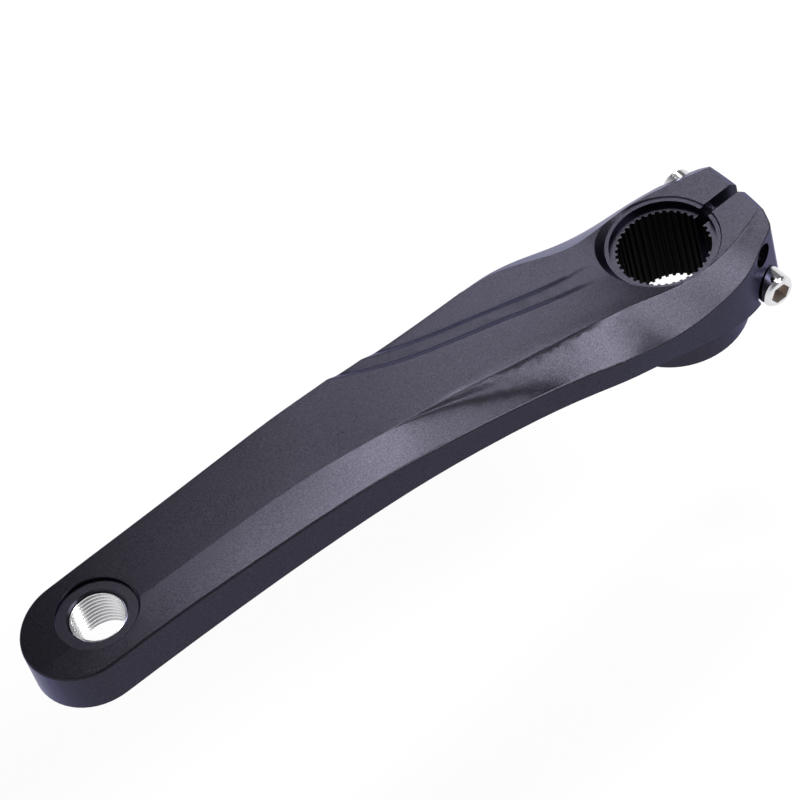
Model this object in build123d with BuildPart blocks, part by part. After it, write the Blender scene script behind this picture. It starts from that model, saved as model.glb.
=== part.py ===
from build123d import *
import os

# Left crank arm of a bicycle, with a splined pinch clamp and two pinch bolts. Millimetres.
# The spindle axis is Z, the pedal lies along +X, and +Z is the outer face, away from the bicycle.
# The origin is on the spindle axis, in the inner face of the boss.

# Lengths along the arm
arm_length = 170.0  # spindle axis to pedal axis
clamp_end = 25.4  # spindle axis to the free end of the clamp
eye_past = 5.0  # the pedal end is rounded about a point this far past the pedal axis
eye_radius = 14.7

# Splined bore, for a 24 mm spindle
bore_length = 25.0
tip_radius = 11.6
tooth_height = 0.6
tooth_count = 40
tip_width = 0.68
foot_width = 1.15
missing_teeth = (0, 15, 16)  # the keys of the spindle fill these wide gaps

# Recess for the preload cap, stepped, above the flat land round the bore
land_radius = 13.6
step_radius = 14.6
step_height = 2.0
mouth_slope = 0.67  # how fast the mouth widens above the step
mouth_height = 12.0  # well above the arm's top

# Boss on the inner side, and the slot of the clamp
boss_radius = 18.8
boss_edge = 0.5
slot_width = 3.3

# Pinch bolts, one from each side
bolt_distance = 17.8  # spindle axis to the bolts
bolt_depth = 5.0  # land to the upper bolt
bolt_spacing = 11.0
bolt_radius = 3.0
bolt_length = 25.0
bolt_tip = 0.8
head_radius = 4.5
head_height = 6.0
head_bevel = 0.9
hex_flats = 5.0
hex_depth = 3.5
near_seat = 15.2  # middle of the slot to the seat of the near head
far_seat = 12.6
seat_clearance = 0.6
thread_clearance = 0.05
shank_clearance = 0.3

# Pedal eye
pedal_radius = 7.14  # major radius of the 9/16 inch pedal thread
sink_radius = 10.2
sink_height = 15.0  # floor of the sink over the land
sink_rim = 15.9  # start of the sink's bevelled rim over the land
thread_mouth = 0.4

# Trimming and rounding of the arm
overrun = 8.0  # how far the lofted body runs past the ends before it is trimmed
side_overrun = 3.0  # and past the sides
section_count = 24
clamp_top = 2.5  # over the land
free_corner = 13.8  # half width of the free end of the clamp
free_corner_x = -23.6
shoulder_x = -14.0  # where the straight sides of the clamp's free end start to curve
free_corner_radius = 3.0
free_bevel = 1.6
under_bevel = 0.8
rim_round = 0.6
least_wall = 4.0  # an edge higher over the underside than this belongs to the top's rim

# Sculpted steps on the far side of the arm
step_drop = 0.9
step_run = 2.4
wing_slope = 0.08
shelf_slope = 0.16
hollow = 0.05  # least depth of the valley between the near side's two slopes
valley_blend = 0.5  # where the valley's soft bend starts, as a share of each slope


def along(share):
    """The place along X of a share of the arm's length."""
    return share * arm_length


def ease(x, start, end):
    """Rises smoothly from 0 at the start to 1 at the end."""
    t = min(max((x - start) / (end - start), 0.0), 1.0)
    return t * t * (3 - 2 * t)


def guide(*knots):
    """A smooth line along the arm."""
    with BuildLine() as line:
        Spline(*knots)
    return line.edges()[0]


def at(line, x):
    """The point of a guide line at a place along X, on its end tangent past its ends."""
    for end in (0, 1):
        p, d = line @ end, line % end
        if (x - p.X) * (2 * end - 1) >= 0:
            return p + d * ((x - p.X) / d.X)
    low, high = 0.0, 1.0
    for _ in range(30):
        middle = (low + high) / 2
        if (line @ middle).X < x:
            low = middle
        else:
            high = middle
    return line @ low


# Form lines: place along X, place across Y, height over the land
edge_line = guide(
    (shoulder_x, 18.2, -2.6),
    (-5.0, 20.6, -3.8),
    (5.0, 21.6, -4.2),
    (16.0, 22.1, -2.6),
    (along(0.18), 22.5, 2.4),
    (along(0.25), 21.3, 5.6),
    (along(0.35), 19.5, 9.0),
    (along(0.47), 18.2, 12.6),
    (along(0.58), eye_radius + 2.6, 15.2),
    (along(0.72), eye_radius + 1.5, 16.0),
    (along(0.88), eye_radius + 0.4, 16.2),
    (arm_length + eye_past, eye_radius, 15.6),
)
ridge_line = guide(
    (-15.0, 12.6, clamp_top),
    (-5.0, 14.7, clamp_top),
    (5.0, 14.9, 3.4),
    (16.0, 14.0, 6.0),
    (along(0.18), 12.5, 8.9),
    (along(0.3), 10.7, 11.9),
    (along(0.41), 8.8, 14.0),
    (along(0.53), 6.8, 15.6),
    (along(0.65), 4.7, 16.3),
    (along(0.82), 4.2, 16.6),
    (along(1.0), 4.0, 16.4),
    (along(1.09), 4.0, 15.6),
)
flank_line = guide(
    (-15.0, -12.6, clamp_top),
    (-5.0, -14.7, clamp_top),
    (3.0, -15.0, 3.0),
    (12.0, -13.2, 4.7),
    (along(0.125), -14.4, 5.2),
    (along(0.18), -17.8, 5.9),
    (along(0.23), -21.4, 5.6),
)
upper_step_line = guide(
    (-40.0, 2.0, 0.0),
    (0.0, 1.4, 0.0),
    (along(0.18), -0.3, 0.0),
    (along(0.28), -3.7, 0.0),
    (along(0.39), -7.9, 0.0),
    (along(0.45), -11.4, 0.0),
    (along(0.51), -16.6, 0.0),
    (along(0.6), -26.0, 0.0),
)
lower_step_line = guide(
    (-40.0, -3.0, 0.0),
    (0.0, -3.4, 0.0),
    (along(0.18), -6.0, 0.0),
    (along(0.28), -9.5, 0.0),
    (along(0.39), -13.8, 0.0),
    (along(0.43), -16.2, 0.0),
    (along(0.51), -22.6, 0.0),
    (along(0.6), -32.5, 0.0),
)
under_line = guide(
    (-15.0, 0.0, -19.6),
    (-5.0, 0.0, -17.8),
    (5.0, 0.0, -14.9),
    (12.0, 0.0, -12.2),
    (22.0, 0.0, -8.6),
    (along(0.23), 0.0, -3.6),
    (along(0.31), 0.0, -0.9),
    (along(0.4), 0.0, 1.4),
    (along(0.5), 0.0, 3.5),
    (along(0.62), 0.0, 4.6),
    (along(0.8), 0.0, 4.2),
    (along(1.0), 0.0, 3.0),
)


def near_side(x):
    """Ridge, valley and outer end of the near side's two slopes, as (across, height)."""
    edge, ridge = at(edge_line, x), at(ridge_line, x)
    fall = (ridge.Z - edge.Z) / (edge.Y - ridge.Y)
    share = 1.06 * ease(x, along(0.2), along(0.47)) - 0.45 * ease(x, along(0.5), along(0.8)) - 0.12
    bend = hollow * (1 - 2 * ease(x, along(0.5), along(0.7)))
    slope = fall + (min(shelf_slope, fall) - fall) * ease(x, along(0.21), along(0.3))
    shelf = share * (edge.Y - ridge.Y)
    valley = (edge.Y - shelf, edge.Z + slope * shelf - bend)
    outer = (edge.Y + side_overrun, edge.Z - slope * side_overrun)
    return (ridge.Y, ridge.Z), valley, outer


def between(p, q, share):
    """The point at a share of the way from p to q."""
    return (p[0] + share * (q[0] - p[0]), p[1] + share * (q[1] - p[1]))


def far_side(x):
    """Corners of the far side's three slopes, as (across, height): two steps go down between them."""
    ridge, upper, lower = at(ridge_line, x), at(upper_step_line, x).Y, at(lower_step_line, x).Y
    fall = 0.02 * ease(x, 0, along(0.18)) + 0.035 * ease(x, along(0.18), along(0.5))
    fall -= 0.03 * ease(x, along(0.52), along(0.65))
    drop = step_drop * ease(x, along(0.06), along(0.26))
    wing = wing_slope * ease(x, along(0.06), along(0.2))
    reach = min(-at(edge_line, x).Y, lower - step_run / 2) - side_overrun
    corners = []
    for y, steps in (
        (upper + step_run / 2, 0), (upper - step_run / 2, 1),
        (lower + step_run / 2, 1), (lower - step_run / 2, 2), (reach, 2),
    ):
        height = ridge.Z - fall * (ridge.Y - y) - wing * max(upper - y, 0.0)
        corners.append((y, height - steps * drop))
    return corners


def soft_step(before, top, foot, after):
    """A step from top to foot that leaves and meets its neighbours without a crease."""
    third = (top[0] - foot[0]) / 3
    lead = (before[1] - top[1]) / (before[0] - top[0])
    run_out = (foot[1] - after[1]) / (foot[0] - after[0])
    Bezier(top, (top[0] - third, top[1] - third * lead), (foot[0] + third, foot[1] + third * run_out), foot)


def across(x):
    """The plane of a cross-section, with Y to its right and Z upwards from the land."""
    return Plane(origin=(x, 0, bore_length), x_dir=(0, 1, 0), z_dir=(1, 0, 0))


loft_start = -clamp_end - overrun
loft_end = arm_length + eye_past + eye_radius + overrun
boss_top = bore_length - 8.0
upper_bolt = bore_length - bolt_depth
lower_bolt = upper_bolt - bolt_spacing
through = 60.0  # longer than any cut has to be

with BuildSketch() as outline:
    with BuildLine():
        side_points = []
        for share in (0.0, 0.06, 0.12, 0.18, 0.24, 0.3, 0.4, 0.5, 0.62, 0.75, 0.88):
            p = at(edge_line, along(share))
            side_points.append((p.X, p.Y))
        shoulder = at(edge_line, shoulder_x)
        eye_middle = arm_length + eye_past
        lead = (shoulder.X - free_corner_x, shoulder.Y - free_corner)
        near = Spline(
            (shoulder.X, shoulder.Y), *side_points, (eye_middle, eye_radius),
            tangents=(lead, (1, 0)), tangent_scalars=(1.0, 1.0),
        )
        ThreePointArc((eye_middle, eye_radius), (eye_middle + eye_radius, 0), (eye_middle, -eye_radius))
        mirror(near, about=Plane.XZ)
        Polyline((shoulder.X, -shoulder.Y), (free_corner_x, -free_corner))
        ThreePointArc((free_corner_x, -free_corner), (-clamp_end, 0), (free_corner_x, free_corner))
        Polyline((free_corner_x, free_corner), (shoulder.X, shoulder.Y))
    make_face()
    fillet(outline.vertices().group_by(Axis.X)[0], radius=free_corner_radius)

with BuildPart() as crank_arm:
    for i in range(section_count):
        x = loft_start + (loft_end - loft_start) * i / (section_count - 1)
        ridge, valley, outer = near_side(x)
        corners = far_side(x)
        floor = at(under_line, x).Z
        with BuildSketch(across(x)):
            with BuildLine():
                Polyline((outer[0], floor), outer, between(outer, valley, valley_blend))
                Bezier(
                    between(outer, valley, valley_blend), valley, between(ridge, valley, valley_blend),
                )
                Polyline(between(ridge, valley, valley_blend), ridge, corners[0])
                soft_step(ridge, corners[0], corners[1], corners[2])
                Line(corners[1], corners[2])
                soft_step(corners[1], corners[2], corners[3], corners[4])
                Polyline(corners[3], corners[4], (corners[4][0], floor), (outer[0], floor))
            make_face()
    loft()

    # The far side's own slope, from its ridge down to the edge
    for i in range(10):
        x = loft_start + (along(0.36) - loft_start) * i / 9
        steady = min(x, along(0.18))
        edge, flank = at(edge_line, steady), at(flank_line, steady)
        slope = (flank.Z - edge.Z) / (edge.Y + flank.Y)
        flank = at(flank_line, x)
        upper = (flank.Y + 14, flank.Z + 14 * slope)
        lower = (flank.Y - 14, flank.Z - 14 * slope)
        with BuildSketch(across(x)):
            with BuildLine():
                Polyline(upper, lower, (lower[0], through), (upper[0], through), close=True)
            make_face()
    loft(mode=Mode.SUBTRACT)

    # Trim to the outline
    add(outline.sketch)
    extrude(amount=through, both=True, mode=Mode.INTERSECT)

    # Edges: the underside is bevelled, then the whole rim of the top is rounded together with its near ridge
    chamfer(crank_arm.faces().filter_by(lambda f: f.normal_at().Z < -0.8).edges(), length=under_bevel)
    rim = []
    for edge in crank_arm.edges().filter_by(lambda e: e.length > arm_length + 30):
        middle = edge @ 0.5
        if abs(middle.Y - at(ridge_line, middle.X).Y) < 0.1 and middle.Z > bore_length:
            rim.append(edge)
    for wall in crank_arm.faces().filter_by(lambda f: abs(f.normal_at().Z) < 0.02):
        for edge in wall.edges():
            middle = edge @ 0.5
            if abs((edge % 0.5).Z) < 0.9 and middle.Z > bore_length + at(under_line, middle.X).Z + least_wall:
                rim.append(edge)
    fillet(sorted(rim, key=lambda e: e.length), radius=rim_round)

    # Bevel along the top of the free end
    with BuildSketch(Plane.XZ):
        with BuildLine():
            bevel_top = bore_length + clamp_top
            Polyline(
                (-clamp_end - 3, bevel_top - free_bevel - 3), (free_bevel - clamp_end + 3, bevel_top + 3),
                (-clamp_end - 3, bevel_top + 3), close=True,
            )
        make_face()
    extrude(amount=through, both=True, mode=Mode.SUBTRACT)

    # Boss on the inner side
    with BuildSketch(Plane.XZ):
        with BuildLine():
            Polyline(
                (0, 0), (boss_radius - boss_edge, 0), (boss_radius, boss_edge), (boss_radius, boss_top),
                (0, boss_top), close=True,
            )
        make_face()
    revolve(axis=Axis.Z)

    # Recess above the land, with its widening mouth
    with BuildSketch(Plane.XZ):
        with BuildLine():
            step_top = bore_length + step_height
            mouth_top = bore_length + mouth_height
            mouth_radius = step_radius + mouth_slope * (mouth_height - step_height)
            Polyline(
                (0, bore_length), (land_radius, bore_length), (land_radius, step_top),
                (step_radius, step_top), (mouth_radius, mouth_top), (0, mouth_top), close=True,
            )
        make_face()
    revolve(axis=Axis.Z, mode=Mode.SUBTRACT)

    # Splined bore
    root_radius = tip_radius + tooth_height
    tooth = (
        (tip_radius - 0.5, -tip_width / 2), (tip_radius, -tip_width / 2),
        (root_radius + 0.1, -foot_width / 2), (root_radius + 0.1, foot_width / 2),
        (tip_radius, tip_width / 2), (tip_radius - 0.5, tip_width / 2),
    )
    with BuildSketch(Plane.XY.offset(-1)):
        Circle(root_radius)
        for i in range(tooth_count):
            if i not in missing_teeth:
                with Locations(Location((0, 0, 0), (0, 0, 360 * i / tooth_count))):
                    Polygon(*tooth, align=None, mode=Mode.SUBTRACT)
        Circle(tip_radius)
    extrude(amount=bore_length + 2, mode=Mode.SUBTRACT)

    # Slot of the clamp
    with BuildSketch(Plane.XY.offset(-1)):
        with Locations((-clamp_end / 2 - 1, 0)):
            Rectangle(clamp_end + 2, slot_width)
    extrude(amount=through, mode=Mode.SUBTRACT)

    # Pedal eye, with a sink for the pedal's flange
    with BuildSketch(Plane(origin=(arm_length, 0, 0), x_dir=(1, 0, 0), z_dir=(0, -1, 0))):
        with BuildLine():
            sink_floor = bore_length + sink_height
            sink_mouth = bore_length + sink_rim
            Polyline(
                (0, 0), (pedal_radius, 0), (pedal_radius, sink_floor - thread_mouth),
                (pedal_radius + thread_mouth, sink_floor), (sink_radius, sink_floor),
                (sink_radius, sink_mouth), (sink_radius + 4, sink_mouth + 4), (0, sink_mouth + 4), close=True,
            )
        make_face()
    revolve(axis=Axis((arm_length, 0, 0), (0, 0, 1)), mode=Mode.SUBTRACT)

    # Bolt holes: a seat and a clear hole in one ear, a threaded hole in the other
    for side, height, head_seat in ((1, lower_bolt, near_seat), (-1, upper_bolt, far_seat)):
        middle = Plane(origin=(-bolt_distance, 0, height), x_dir=(1, 0, 0), z_dir=(0, side, 0))
        with BuildSketch(middle.offset(head_seat)):
            Circle(head_radius + seat_clearance)
        extrude(amount=through, mode=Mode.SUBTRACT)
        with BuildSketch(middle):
            Circle(bolt_radius + shank_clearance)
        extrude(amount=head_seat + 1, mode=Mode.SUBTRACT)
        with BuildSketch(middle):
            Circle(bolt_radius + thread_clearance)
        extrude(amount=-through, mode=Mode.SUBTRACT)


def pinch_bolt(side, height, head_seat):
    """A socket-head bolt through both ears, with its head on the given side of the slot."""
    seat = Plane(origin=(-bolt_distance, side * head_seat, height), x_dir=(1, 0, 0), z_dir=(0, side, 0))
    outwards = Axis((0, 0, 0), (0, side, 0))
    with BuildPart() as bolt:
        with BuildSketch(seat):
            Circle(bolt_radius)
        extrude(amount=-bolt_length)
        chamfer(bolt.edges().filter_by(GeomType.CIRCLE).sort_by(outwards)[0], length=bolt_tip)
        with BuildSketch(seat):
            Circle(head_radius)
        extrude(amount=head_height)
        chamfer(bolt.edges().filter_by(GeomType.CIRCLE).sort_by(outwards)[-1], length=head_bevel)
        with BuildSketch(seat.offset(head_height)):
            RegularPolygon(hex_flats / 2, 6, major_radius=False)
        extrude(amount=-hex_depth, mode=Mode.SUBTRACT)
    return bolt.part


near_pinch_bolt = pinch_bolt(1, lower_bolt, near_seat)
far_pinch_bolt = pinch_bolt(-1, upper_bolt, far_seat)

crank_arm.part.label = "crank_arm"
near_pinch_bolt.label = "near_pinch_bolt"
far_pinch_bolt.label = "far_pinch_bolt"
os.makedirs("parts", exist_ok=True)
export_step(crank_arm.part, "parts/crank_arm.step")
export_step(near_pinch_bolt, "parts/near_pinch_bolt.step")
export_step(far_pinch_bolt, "parts/far_pinch_bolt.step")
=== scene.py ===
# %% [markdown]
# # A bicycle crank arm
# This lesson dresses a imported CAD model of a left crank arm: one black anodised aluminium forging, two
# bright pinch bolts and a bare metal thread for the pedal. The shapes come from the CAD model, so the script
# starts by loading it. Everything is in metres, in the CAD model's own frame: the spindle axis is Z, the
# pedal lies along +X, and +Z is the outer face.

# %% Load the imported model
import bpy
import bmesh
import math
from mathutils import Matrix, Vector


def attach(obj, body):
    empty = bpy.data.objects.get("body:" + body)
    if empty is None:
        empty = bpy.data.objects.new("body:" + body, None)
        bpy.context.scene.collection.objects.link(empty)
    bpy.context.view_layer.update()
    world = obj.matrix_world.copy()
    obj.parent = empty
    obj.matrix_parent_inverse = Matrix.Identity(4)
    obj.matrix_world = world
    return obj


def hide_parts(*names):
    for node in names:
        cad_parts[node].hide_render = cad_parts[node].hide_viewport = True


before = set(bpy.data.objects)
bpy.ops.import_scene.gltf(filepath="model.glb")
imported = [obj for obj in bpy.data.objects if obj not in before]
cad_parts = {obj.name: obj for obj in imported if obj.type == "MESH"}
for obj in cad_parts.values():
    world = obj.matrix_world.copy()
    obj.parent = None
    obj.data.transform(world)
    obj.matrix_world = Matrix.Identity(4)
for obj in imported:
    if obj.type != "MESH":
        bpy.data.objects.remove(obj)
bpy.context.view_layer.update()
mm = 0.001
print("nodes", sorted(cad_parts))

# %% [markdown]
# ## The camera
# A product photo of a long thin part is taken from far away with a long lens, so that the near end doesn't
# look swollen. The place and the lens here were found by matching the round features of the arm, which are
# circles of known size. A camera looks along its own -Z axis, so its turn is built from three directions:
# right, up and backwards. A lamp is turned in the same way, so the helper for this is used again below.

# %% Helpers that add an object and turn it
def add_object(name, data):
    thing = bpy.data.objects.new(name, data)
    bpy.context.scene.collection.objects.link(thing)
    return thing


def standing_at(place, right, up, back):
    """The matrix of an object at a place whose own X, Y and Z axes point right, up and backwards."""
    return Matrix.Translation(place) @ Matrix((right, up, back)).transposed().to_4x4()


# %% Place the camera
camera_place = Vector((0.2789, 0.4820, 0.6727))
view_direction = Vector((-0.2419, -0.5870, -0.7726)).normalized()
picture_up = Vector((-0.5718, -0.5570, 0.6023))
camera_right = view_direction.cross(picture_up).normalized()
camera_up = camera_right.cross(view_direction)
camera_data = bpy.data.cameras.new("product_camera")
camera_data.sensor_width = 36
camera_data.lens = 153.8
camera = add_object("product_camera", camera_data)
camera.matrix_world = standing_at(camera_place, camera_right, camera_up, -view_direction)
bpy.context.scene.camera = camera
bpy.context.scene.view_settings.view_transform = "Standard"
print("camera", camera_data.lens, "mm lens, away from the spindle by", round(camera_place.length, 3), "m")

# %% [markdown]
# ## Small helpers for materials
# Every finish below is a short chain of shader nodes. Writing a helper that adds one node, sets its values
# and links its inputs keeps each chain as readable as a list of steps. An input that gets a socket is linked,
# and one that gets a number or a colour is set.

# %% Helpers that add nodes
def add_node(tree, kind, inputs=None, **settings):
    node = tree.nodes.new(kind)
    for name, value in settings.items():
        setattr(node, name, value)
    for name, value in (inputs or {}).items():
        if isinstance(value, bpy.types.NodeSocket):
            tree.links.new(value, node.inputs[name])
        else:
            node.inputs[name].default_value = value
    return node


def maths(tree, operation, *values):
    """Adds a Math node for numbers or sockets, and gives its result."""
    return add_node(tree, "ShaderNodeMath", dict(enumerate(values)), operation=operation).outputs[0]


def new_material(name):
    material = bpy.data.materials.new(name)
    material.use_nodes = True
    material.node_tree.nodes.clear()
    return material, material.node_tree


def show_shader(material, shader):
    """Links a shader to the material's output."""
    tree = material.node_tree
    add_node(tree, "ShaderNodeOutputMaterial", {"Surface": shader.outputs[0]})
    print(material.name, "has", len(tree.nodes), "nodes")


# %% [markdown]
# ## Floor, world and light
# The arm is shown on plain white. The floor is a pale plane a little under the arm, with a low round backdrop
# at its edge. Seen straight from the camera, or mirrored in metal, both are white by themselves, and a small
# share of ordinary paint stays in them, so the floor keeps a faint soft shadow. The world is the dim room
# above the backdrop, with one paler wall beyond the pedal end, which the arm's other sides mirror.

# %% The white of the floor and the backdrop
white_share = 0.85


def seen_or_mirrored(tree):
    """1 for a ray from the camera, from a mirror or through glass, and 0 for all other light."""
    ray = add_node(tree, "ShaderNodeLightPath").outputs
    mirrored = maths(tree, "MAXIMUM", ray["Is Glossy Ray"], ray["Is Transmission Ray"])
    return maths(tree, "MAXIMUM", ray["Is Camera Ray"], mirrored)


table_white, tree = new_material("white_table")
paint = add_node(tree, "ShaderNodeBsdfDiffuse", {"Color": (0.9, 0.9, 0.9, 1)})
white = add_node(tree, "ShaderNodeEmission", {"Color": (1, 1, 1, 1), "Strength": 1.0})
share = maths(tree, "MULTIPLY", seen_or_mirrored(tree), white_share)
surface = add_node(tree, "ShaderNodeMixShader", {0: share, 1: paint.outputs[0], 2: white.outputs[0]})
show_shader(table_white, surface)

# %% The floor and the backdrop
floor_height = -0.06
floor_reach = 3.0
backdrop_height = 0.7


def stage_piece(name, shape):
    mesh = bpy.data.meshes.new(name)
    shape.to_mesh(mesh)
    shape.free()
    mesh.materials.append(table_white)
    piece = add_object(name, mesh)
    print(name, "has", len(mesh.polygons), "faces")


shape = bmesh.new()
bmesh.ops.create_grid(shape, x_segments=1, y_segments=1, size=floor_reach)
bmesh.ops.translate(shape, verts=shape.verts, vec=(0, 0, floor_height))
stage_piece("floor", shape)

shape = bmesh.new()
bmesh.ops.create_cone(
    shape, cap_ends=False, segments=64, radius1=floor_reach, radius2=floor_reach, depth=backdrop_height
)
bmesh.ops.translate(shape, verts=shape.verts, vec=(0, 0, floor_height + backdrop_height / 2))
stage_piece("backdrop", shape)

# %% The world
dim_wall = 0.2
pale_wall = 0.9
pale_from = 0.9
world = bpy.data.worlds.new("dim_room")
bpy.context.scene.world = world
world.use_nodes = True
tree = world.node_tree
tree.nodes.clear()
direction = add_node(tree, "ShaderNodeTexCoord")
towards = add_node(tree, "ShaderNodeSeparateXYZ", {"Vector": direction.outputs["Generated"]})
shade = add_node(
    tree,
    "ShaderNodeMapRange",
    {
        "Value": towards.outputs["X"],
        "From Min": 0.0,
        "From Max": pale_from,
        "To Min": dim_wall,
        "To Max": pale_wall,
    },
    interpolation_type="SMOOTHSTEP",
)
room = add_node(
    tree,
    "ShaderNodeBackground",
    {"Color": (0.98, 0.98, 1.0, 1), "Strength": shade.outputs["Result"]},
)
add_node(tree, "ShaderNodeOutputWorld", {"Surface": room.outputs[0]})
print("room goes from", dim_wall, "to", pale_wall, "beyond the pedal end")

# %% [markdown]
# Satin black metal shows its shape by what it mirrors, not by its colour. So each lamp is placed where a face
# of the arm mirrors it into the camera: one on the far side for the flat top, one overhead for the near
# slope, a small one for the clamp, and a weak one low on the far side. The dark room between two lamps draws
# the thin dark lines along the rounded edges, and the pedal end, which mirrors no lamp, stays dark.

# %% The lamps
arm_middle = Vector((0.08, 0.0, 0.03))


def soft_lamp(name, direction, across, along, roll, brightness):
    """A rectangular lamp one metre from the arm. Its width lies along Y before the roll, in degrees."""
    data = bpy.data.lights.new(name, "AREA")
    data.shape = "RECTANGLE"
    data.size = across
    data.size_y = along
    data.energy = brightness * math.pi * across * along
    away = Vector(direction).normalized()
    level = (Vector((0, 1, 0)) - away * away.y).normalized()
    side = Matrix.Rotation(math.radians(roll), 3, away) @ level
    lamp = add_object(name, data)
    lamp.matrix_world = standing_at(arm_middle + away, side, away.cross(side), away)
    print(name, "gives", round(data.energy, 2), "W")


soft_lamp("top_lamp", (-0.325, -0.384, 0.864), across=0.19, along=0.45, roll=-35, brightness=16.0)
soft_lamp("slope_lamp", (-0.582, 0.384, 0.716), across=0.30, along=0.60, roll=0, brightness=10.6)
soft_lamp("clamp_lamp", (-0.540, 0.711, 0.450), across=0.22, along=0.49, roll=-15, brightness=10.2)
soft_lamp("far_lamp", (-0.480, -0.673, 0.562), across=0.36, along=0.29, roll=39, brightness=4.8)

# %% [markdown]
# ## The black anodised finish
# The arm is blasted before it is anodised, so its surface is a fine matt grain under a hard black skin. The
# grain is far smaller than a millimetre. It could be modelled as real bumps, but that would take millions of
# faces, so a noise pattern tilts the surface instead and varies its roughness a little. The bore, the bare
# thread and the bolts have the same grain in other sizes and strengths, so it is a node group.

# %% The grain as a node group
grain_group = bpy.data.node_groups.new("metal_grain", "ShaderNodeTree")
for name in ("Size", "Roughness", "Variation"):
    grain_group.interface.new_socket(name, in_out="INPUT", socket_type="NodeSocketFloat")
for name in ("Height", "Roughness", "Tone"):
    grain_group.interface.new_socket(name, in_out="OUTPUT", socket_type="NodeSocketFloat")
entry = grain_group.nodes.new("NodeGroupInput").outputs
place = add_node(grain_group, "ShaderNodeTexCoord").outputs["Object"]
fine = add_node(
    grain_group,
    "ShaderNodeTexNoise",
    {"Vector": place, "Scale": entry["Size"], "Detail": 2.0, "Roughness": 0.6},
).outputs["Fac"]
broad = add_node(
    grain_group,
    "ShaderNodeTexNoise",
    {"Vector": place, "Scale": 90.0, "Detail": 3.0, "Roughness": 0.5},
).outputs["Fac"]
both = maths(grain_group, "MULTIPLY_ADD", fine, 0.5, maths(grain_group, "MULTIPLY", broad, 0.5))
centred = maths(grain_group, "SUBTRACT", both, 0.5)
rough = maths(grain_group, "MULTIPLY_ADD", centred, entry["Variation"], entry["Roughness"])
add_node(grain_group, "NodeGroupOutput", {"Height": fine, "Roughness": rough, "Tone": fine})
print("grain group has", len(grain_group.nodes), "nodes")


def place_grain(tree, size, roughness, variation):
    """Places the grain in a material. A larger size is a finer grain."""
    values = {"Size": size, "Roughness": roughness, "Variation": variation}
    return add_node(tree, "ShaderNodeGroup", values, node_tree=grain_group).outputs


# %% The anodised material
anodised, tree = new_material("black_anodised")
grain = place_grain(tree, size=2600.0, roughness=0.30, variation=0.03)
dark_speck = (0.0072, 0.0070, 0.0115, 1)
pale_speck = (0.0578, 0.0552, 0.0705, 1)
# A Mix node has sockets for each kind of data, and numbers 6 and 7 are its two colours.
speckle = add_node(
    tree,
    "ShaderNodeMix",
    {0: grain["Tone"], 6: dark_speck, 7: pale_speck},
    data_type="RGBA",
)
tilt = add_node(
    tree,
    "ShaderNodeBump",
    {"Height": grain["Height"], "Strength": 0.45, "Distance": 0.05 * mm},
)
skin = add_node(
    tree,
    "ShaderNodeBsdfPrincipled",
    {
        "Base Color": speckle.outputs[2],
        "Specular Tint": (0.75, 0.75, 1.0, 1),
        "Metallic": 1.0,
        "Roughness": grain["Roughness"],
        "Normal": tilt.outputs["Normal"],
    },
)
show_shader(anodised, skin)

# %% [markdown]
# The splined bore is broached, so its walls are torn and dull rather than blasted. They take the same black
# dye. Their finish is also made far darker than the dye, nearly without reflection, as painted shade for the
# dark inside of the bore. A second finish on the same piece does this.

# %% The dull finish of the bore, darkened as painted shade
bore_black_and_painted_shade, tree = new_material("broached_black_and_painted_shade")
grain = place_grain(tree, size=1500.0, roughness=0.62, variation=0.15)
# A near-black colour with almost no reflection: painted shade for the inside of the bore, on top of its dull
# wall.
dull = add_node(
    tree,
    "ShaderNodeBsdfPrincipled",
    {
        "Base Color": (0.0015, 0.0015, 0.002, 1),
        "Roughness": grain["Roughness"],
        "Specular IOR Level": 0.03,
    },
)
show_shader(bore_black_and_painted_shade, dull)

# %% [markdown]
# ## The arm
# The CAD model of the arm is a set of loose faces. A copy whose touching vertices are merged can be shaded
# smoothly across its small rounded edges. Shading everything smooth would smear the sculpted ridges, so the
# seams between CAD faces are remembered before the merge, and each seam with a real bend in it stays crisp.
# The Weighted Normal modifier keeps the broad faces flat right up to their rounded borders.

# %% Copy a node and smooth its shading
merge_distance = 0.002 * mm
crisp_bend = math.radians(9.5)
broad_face_weight = 80


def finished_copy(node_name, piece_name, material, reshape):
    """Copies a node in a new finish. reshape works on the mesh and gives the points to shade softly."""
    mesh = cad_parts[node_name].data.copy()
    mesh.name = piece_name
    shape = bmesh.new()
    shape.from_mesh(mesh)
    for edge in shape.edges:
        edge.seam = edge.is_boundary
    bmesh.ops.remove_doubles(shape, verts=shape.verts, dist=merge_distance)
    soft = reshape(shape)
    crisp = 0
    for edge in shape.edges:
        inside = edge.verts[0] in soft and edge.verts[1] in soft
        bent = edge.seam and not inside and edge.calc_face_angle(0) > crisp_bend
        edge.smooth = not bent
        edge.seam = False
        crisp += bent
    for face in shape.faces:
        face.smooth = True
    shape.verts.index_update()
    soft_numbers = [v.index for v in soft]
    shape.to_mesh(mesh)
    shape.free()
    mesh.materials.clear()
    mesh.materials.append(material)
    piece = add_object(piece_name, mesh)
    weighted = piece.modifiers.new("flat_faces_first", "WEIGHTED_NORMAL")
    weighted.keep_sharp = True
    weighted.weight = broad_face_weight
    if soft_numbers:
        piece.vertex_groups.new(name="soft_ridge").add(soft_numbers, 1.0, "REPLACE")
        weighted.vertex_group = "soft_ridge"
        weighted.invert_vertex_group = True
    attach(piece, "root")
    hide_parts(node_name)
    print(piece_name, "has", len(mesh.polygons), "faces and", crisp, "crisp edges")
    return piece


# %% [markdown]
# Forging dies are polished, so the long ridge between the flat top and the near slope is softer than a plain
# fillet. Two cuts run beside the ridge, a wide one on the flat side and a narrow one on the slope side, and
# the ridge between them is pressed down a little. Smooth shading then rolls from one face to the other. The
# two shallow steps on the far side are soft as well. Their shape stays as it is, and only the seams along
# them are forgotten, so that no crease is drawn there.

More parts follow.
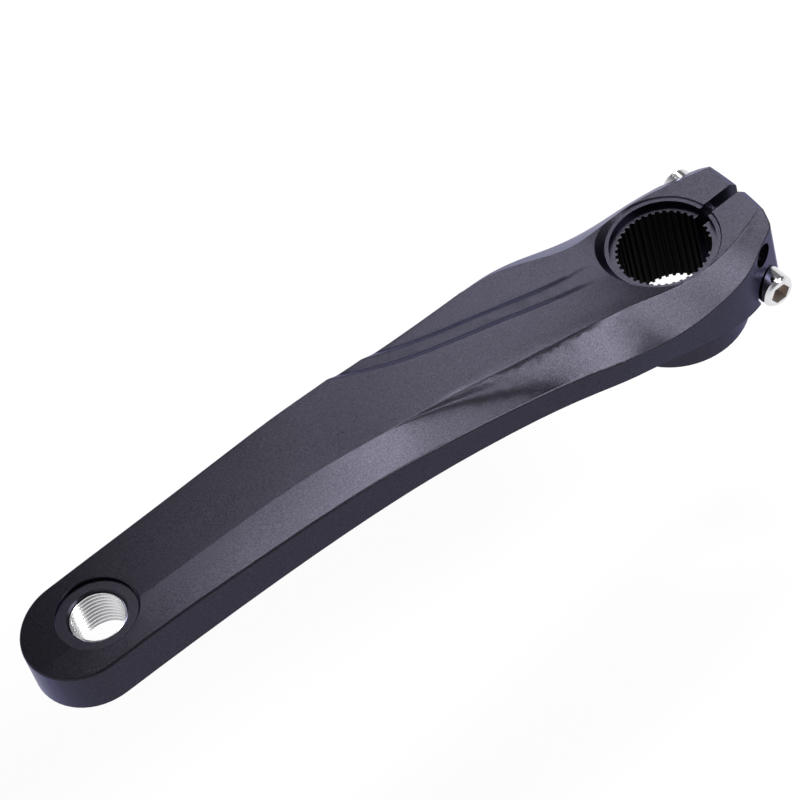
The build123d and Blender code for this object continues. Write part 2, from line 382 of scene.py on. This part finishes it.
# %% Where the ridge runs
ridge_knots = (
    (5.0, 14.9), (16.0, 14.0), (30.6, 12.5),
    (51.0, 10.7), (69.7, 8.8), (90.1, 6.8),
    (110.5, 4.7), (139.4, 4.2), (170.0, 4.0),
)


def ridge_side(point):
    """How far a point lies to the near side of the ridge, which runs smoothly through its knots."""
    x = point.x / mm
    k = max(1, min(len(ridge_knots) - 3, sum(knot[0] < x for knot in ridge_knots) - 1))
    (xa, ya), (x0, y0), (x1, y1), (xb, yb) = ridge_knots[k - 1:k + 3]
    t = (x - x0) / (x1 - x0)
    lead = (y1 - ya) / (x1 - xa) * (x1 - x0)
    leave = (yb - y0) / (xb - x0) * (x1 - x0)
    y = (1 + 2 * t) * (1 - t) ** 2 * y0 + t * (1 - t) ** 2 * lead
    y += t * t * (3 - 2 * t) * y1 + t * t * (t - 1) * leave
    return point.y - y * mm


print("ridge has", len(ridge_knots), "knots")

# %% Soften the far steps
step_from = 18.0 * mm
step_to = 96.0 * mm
step_above = 30.5 * mm
step_past_ridge = 3 * mm
step_bend = math.radians(16)


def soften_steps(shape):
    """Forgets the seams of the two steps on the far side."""
    for edge in shape.edges:
        middle = (edge.verts[0].co + edge.verts[1].co) / 2
        on_top = middle.z > step_above and step_from < middle.x < step_to
        if on_top and ridge_side(middle) < -step_past_ridge and edge.calc_face_angle(0) < step_bend:
            edge.seam = False


# %% Soften the ridge
ridge_from = 20.0 * mm
ridge_to = 77.0 * mm
ridge_above = 31 * mm
ridge_width = 0.72 * mm
ridge_drop = 0.22 * mm
ridge_fade = 12 * mm
flat_band = 4.5 * mm
slope_band = 1.2 * mm
least_share = 0.02


def soften_top(shape):
    """Softens the far steps, presses the ridge down, and gives the ridge's points."""
    soften_steps(shape)
    ridge = set()
    for vertex in shape.verts:
        on_top = vertex.co.z > ridge_above and ridge_from < vertex.co.x < ridge_to
        if on_top and abs(ridge_side(vertex.co)) < ridge_width / 2:
            ridge.add(vertex)
    fresh = []
    for edge in shape.edges[:]:
        ends = [v for v in edge.verts if v in ridge]
        if len(ends) == 1:
            start = ridge_side(ends[0].co)
            end = ridge_side(edge.other_vert(ends[0]).co)
            band = -flat_band if end < start else slope_band
            share = (band - start) / (end - start)
            if least_share < share < 1 - least_share:
                fresh.append(bmesh.utils.edge_split(edge, ends[0], share)[1])
    bmesh.ops.connect_verts(shape, verts=fresh)
    bmesh.ops.triangulate(shape, faces=[f for f in shape.faces if len(f.verts) > 3])
    for vertex in ridge:
        from_end = min(vertex.co.x - ridge_from, ridge_to - vertex.co.x)
        vertex.co.z -= ridge_drop * min(1.0, from_end / ridge_fade)
    print("softened ridge has", len(ridge), "points and", len(fresh), "beside it")
    return ridge


arm = finished_copy("crank_arm", "arm_forging", anodised, soften_top)

# %% [markdown]
# The teeth of the bore lie inside a circle a little wider than their roots, and below the flat ring that
# the cap rests on. Every face of the arm in that space gets the second finish: dull, and darkened as painted
# shade.

# %% Give the bore its dull finish and painted shade
bore_radius = 12.6 * mm
land_height = 24.9 * mm
arm.data.materials.append(bore_black_and_painted_shade)
dull_faces = 0
# The faces inside the bore, where shade falls, get the darkened finish that paints the shade.
for face in arm.data.polygons:
    if math.hypot(face.center.x, face.center.y) < bore_radius and face.center.z < land_height:
        face.material_index = 1
        dull_faces += 1
print("bore has", dull_faces, "dull faces")

# %% [markdown]
# ## The pedal thread
# The pedal screws into the eye at the end of the arm. The thread is cut after anodising, so it is bare bright
# metal. It runs the other way round from a common screw, because a left pedal would unscrew itself from a
# right-hand thread. A screw surface is one short profile that turns and climbs at the same time, which is
# what the spin operator does when every step also has a small lift. Here every step goes down, which makes
# the thread left-handed. It starts above the hole and ends below it, and two cuts trim it to length.

# %% The bare metal
def grained_metal(name, colour, size, roughness, variation):
    """A bright metal of one colour whose roughness follows the grain."""
    metal, tree = new_material(name)
    grain = place_grain(tree, size, roughness, variation)
    shader = add_node(
        tree,
        "ShaderNodeBsdfPrincipled",
        {"Base Color": colour, "Metallic": 1.0, "Roughness": grain["Roughness"]},
    )
    show_shader(metal, shader)
    return metal


bare_metal = grained_metal(
    "bare_cut_aluminium", (0.80, 0.80, 0.81, 1), size=4000.0, roughness=0.22, variation=0.12
)

# %% Spin the thread's profile
thread_root = 7.05 * mm
thread_crest = 6.45 * mm
thread_pitch = 1.27 * mm
thread_low = 28.2 * mm
thread_high = 39.6 * mm
flank_slope = math.radians(30)
spare_turns = 2
steps_per_turn = 72

flank = (thread_root - thread_crest) * math.tan(flank_slope)
crest_width = thread_pitch / 4
root_width = thread_pitch - crest_width - 2 * flank
lifts = (0, root_width, root_width + flank, root_width + flank + crest_width, thread_pitch)
radii = (thread_root, thread_root, thread_crest, thread_crest, thread_root)
start = thread_high + spare_turns * thread_pitch
turns = math.ceil((thread_high - thread_low) / thread_pitch) + 2 * spare_turns

shape = bmesh.new()
points = [shape.verts.new((r, 0, start + z)) for r, z in zip(radii, lifts)]
profile = [shape.edges.new(pair) for pair in zip(points, points[1:])]
bmesh.ops.spin(
    shape,
    geom=points + profile,
    cent=(0, 0, 0),
    axis=(0, 0, 1),
    dvec=(0, 0, -thread_pitch / steps_per_turn),
    angle=2 * math.pi * turns,
    steps=turns * steps_per_turn,
    use_merge=False,
)
bmesh.ops.remove_doubles(shape, verts=shape.verts, dist=merge_distance)
print("thread makes", turns, "turns before it is trimmed")

# %% Trim the thread and give it a wall
thread_wall = 0.06 * mm
pedal_distance = 170 * mm

for height, normal in ((thread_low, (0, 0, -1)), (thread_high, (0, 0, 1))):
    bmesh.ops.bisect_plane(
        shape,
        geom=shape.verts[:] + shape.edges[:] + shape.faces[:],
        plane_co=(0, 0, height),
        plane_no=normal,
        clear_outer=True,
    )
bmesh.ops.recalc_face_normals(shape, faces=shape.faces)
outward = 0.0
for face in shape.faces:
    middle = face.calc_center_median()
    outward += face.normal.dot(Vector((middle.x, middle.y, 0)))
if outward > 0:
    bmesh.ops.reverse_faces(shape, faces=shape.faces)
bmesh.ops.solidify(shape, geom=shape.faces[:], thickness=thread_wall)

thread_mesh = bpy.data.meshes.new("pedal_thread")
shape.to_mesh(thread_mesh)
shape.free()
thread_mesh.transform(Matrix.Translation((pedal_distance, 0, 0)))
thread_mesh.materials.append(bare_metal)
pedal_thread = add_object("pedal_thread", thread_mesh)
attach(pedal_thread, "root")
print("pedal_thread has", len(thread_mesh.polygons), "faces")

# %% [markdown]
# ## The pinch bolts
# The two socket-head bolts are plated steel. Plating mirrors the room clearly, with a slight softness from
# the drawn wire below it. The walls of the sockets get a duller, browner and darker steel than the plating.

# %% The plating and the socket steel
plating = grained_metal(
    "bright_plating", (0.72, 0.72, 0.74, 1), size=3000.0, roughness=0.11, variation=0.10
)
socket_steel, tree = new_material("dull_socket_steel")
socket = add_node(
    tree,
    "ShaderNodeBsdfPrincipled",
    {"Base Color": (0.50, 0.45, 0.42, 1), "Metallic": 1.0, "Roughness": 0.42},
)
show_shader(socket_steel, socket)

# %% [markdown]
# The heads of such bolts are rolled to shape, so their outer edges are round. A Bevel modifier would round
# every edge of the bolt, also those of the socket. So the triangles of the flat faces are joined first, and
# then only the edges that lie further out than the shank and the socket are bevelled.

# %% Round the heads
bolt_x = -17.8 * mm
shank_room = 3.4 * mm
head_roll = 0.35 * mm
flat_bend = math.radians(1)
rim_bend = math.radians(30)


def round_head(shape):
    """Rounds the outer edges of a bolt's head. None of its points are shaded softly."""
    axis_z = sum(v.co.z for v in shape.verts) / len(shape.verts)
    bmesh.ops.dissolve_limit(
        shape, angle_limit=flat_bend, verts=shape.verts, edges=shape.edges, delimit={"SEAM"}
    )
    outer = []
    for edge in shape.edges:
        away = [math.hypot(v.co.x - bolt_x, v.co.z - axis_z) for v in edge.verts]
        if min(away) > shank_room and edge.calc_face_angle(0) > rim_bend:
            outer.append(edge)
    bmesh.ops.bevel(
        shape, geom=outer, offset=head_roll, segments=3, profile=0.5, affect="EDGES", material=-1
    )
    print("head has", len(outer), "outer edges to round")
    return set()


# %% Dress the two bolts
socket_room = 2.95 * mm
head_start = 13.0 * mm
top_skin = 0.05 * mm


def dress_bolt(node_name, piece_name, side):
    """Plates a bolt and dulls its socket. The head points to +Y where side is 1, and to -Y where it is -1."""
    bolt = finished_copy(node_name, piece_name, plating, round_head)
    bolt.data.materials.append(socket_steel)
    levels = [v.co.z for v in bolt.data.vertices]
    axis_z = (min(levels) + max(levels)) / 2
    head_top = max(v.co.y * side for v in bolt.data.vertices)
    dull_faces = 0
    for face in bolt.data.polygons:
        away = math.hypot(face.center.x - bolt_x, face.center.z - axis_z)
        if away < socket_room and head_start < face.center.y * side < head_top - top_skin:
            face.material_index = 1
            dull_faces += 1
    print(piece_name, "has", dull_faces, "dull faces in its socket")


dress_bolt("near_pinch_bolt", "near_bolt", 1)
dress_bolt("far_pinch_bolt", "far_bolt", -1)
